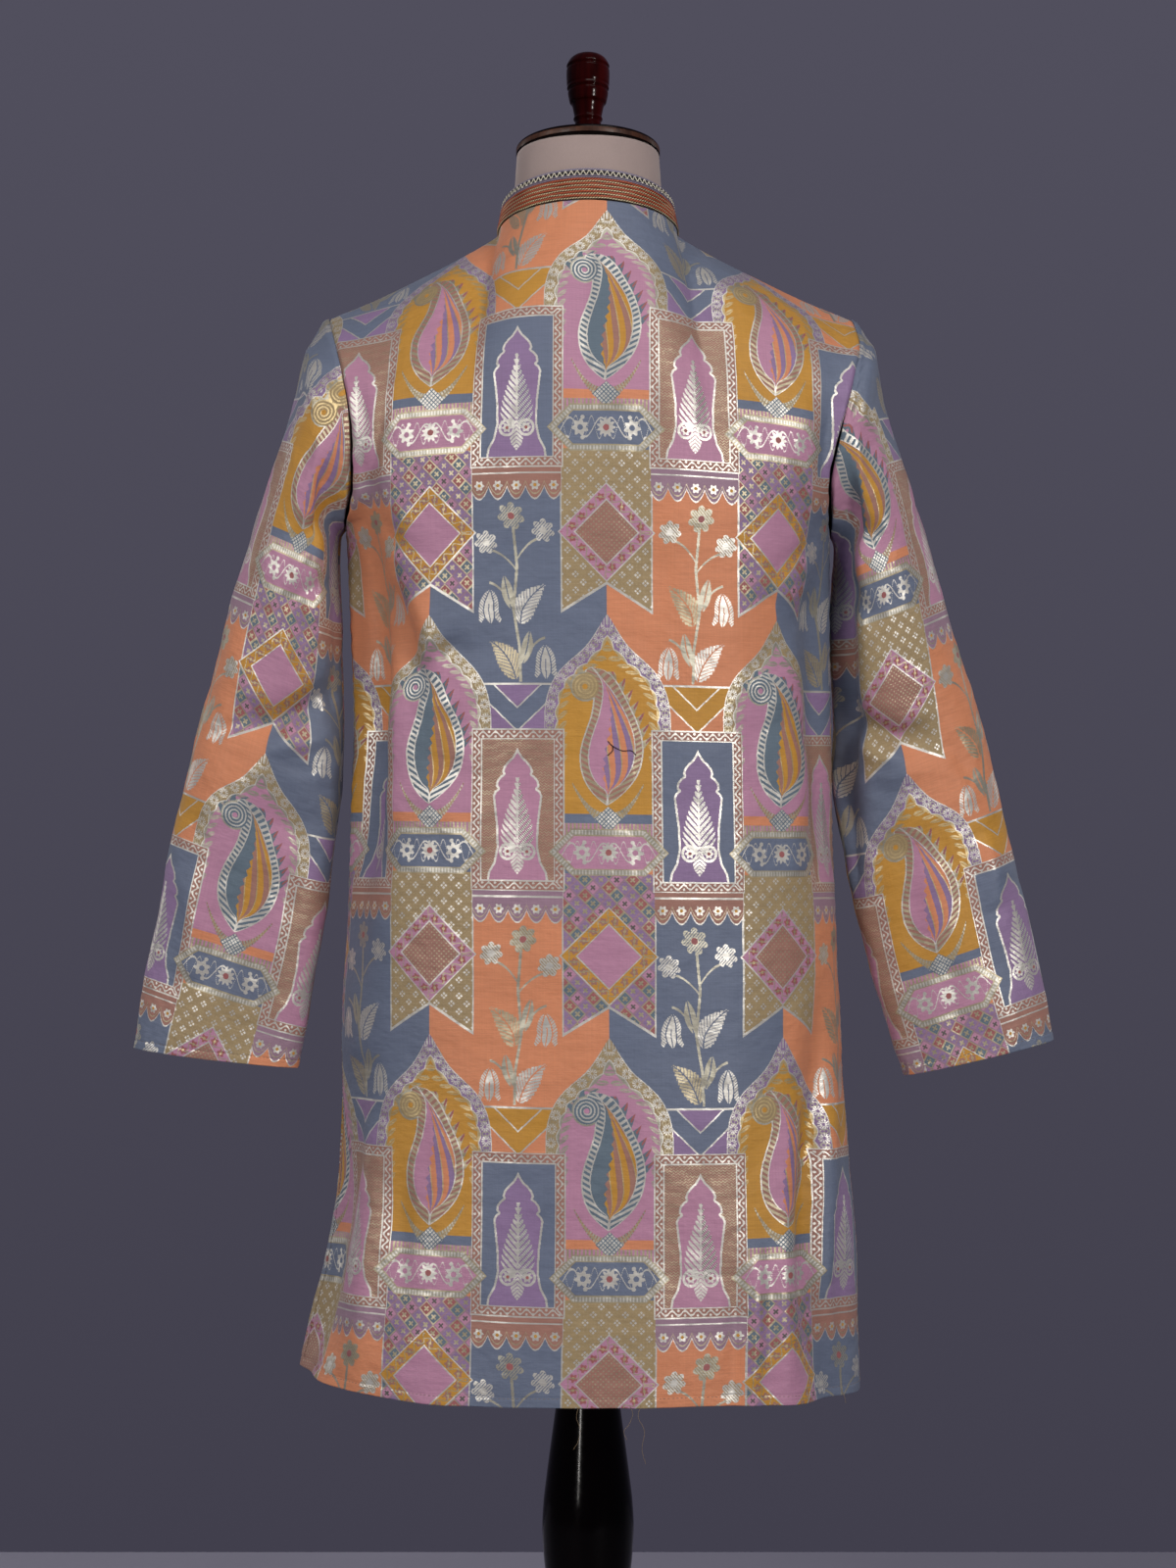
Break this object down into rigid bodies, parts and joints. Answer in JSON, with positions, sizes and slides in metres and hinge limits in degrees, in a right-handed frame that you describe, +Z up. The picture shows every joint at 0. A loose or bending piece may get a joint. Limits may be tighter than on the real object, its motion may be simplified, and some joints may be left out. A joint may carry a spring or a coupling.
{
  "type": "kurta on dress form",
  "caption": "Long-sleeved knee-length kurta with band collar in patterned brocade, worn by a limbless dress form on a turned pedestal.",
  "frame": {"origin": "centre of the foot's flat underside, on the floor", "axes": "+Z up; the garment's front faces -Y, its back +Y, and its wearer's left sleeve is on +X"},
  "size_m": [0.784, 0.386, 1.6752],
  "materials": {
    "brocade": "silk-like jacquard brocade in patches of mustard, orange, pink, slate, purple and olive with silvery metallic thread",
    "collar_cords": "rows of orange and gold twisted cord on orange cloth",
    "collar_braid": "silver and dark zig-zag braid",
    "button_metal": "plain antique gilt",
    "form_cloth": "matt cream-grey stretched cotton",
    "turned_wood": "dark red-brown, high-gloss lacquer"
  },
  "bodies": {
    "root": {"kurta_back": "brocade", "kurta_front": "brocade", "sleeve_left": "brocade", "sleeve_right": "brocade", "placket": "brocade", "collar_band": "collar_cords", "collar_braid": "collar_braid", "button_1": "button_metal", "button_2": "button_metal", "button_3": "button_metal", "button_4": "button_metal", "form_torso": "form_cloth", "form_neck_cap": "turned_wood", "form_finial": "turned_wood", "form_post": "turned_wood", "form_foot": "turned_wood"}
  },
  "joints": []
}
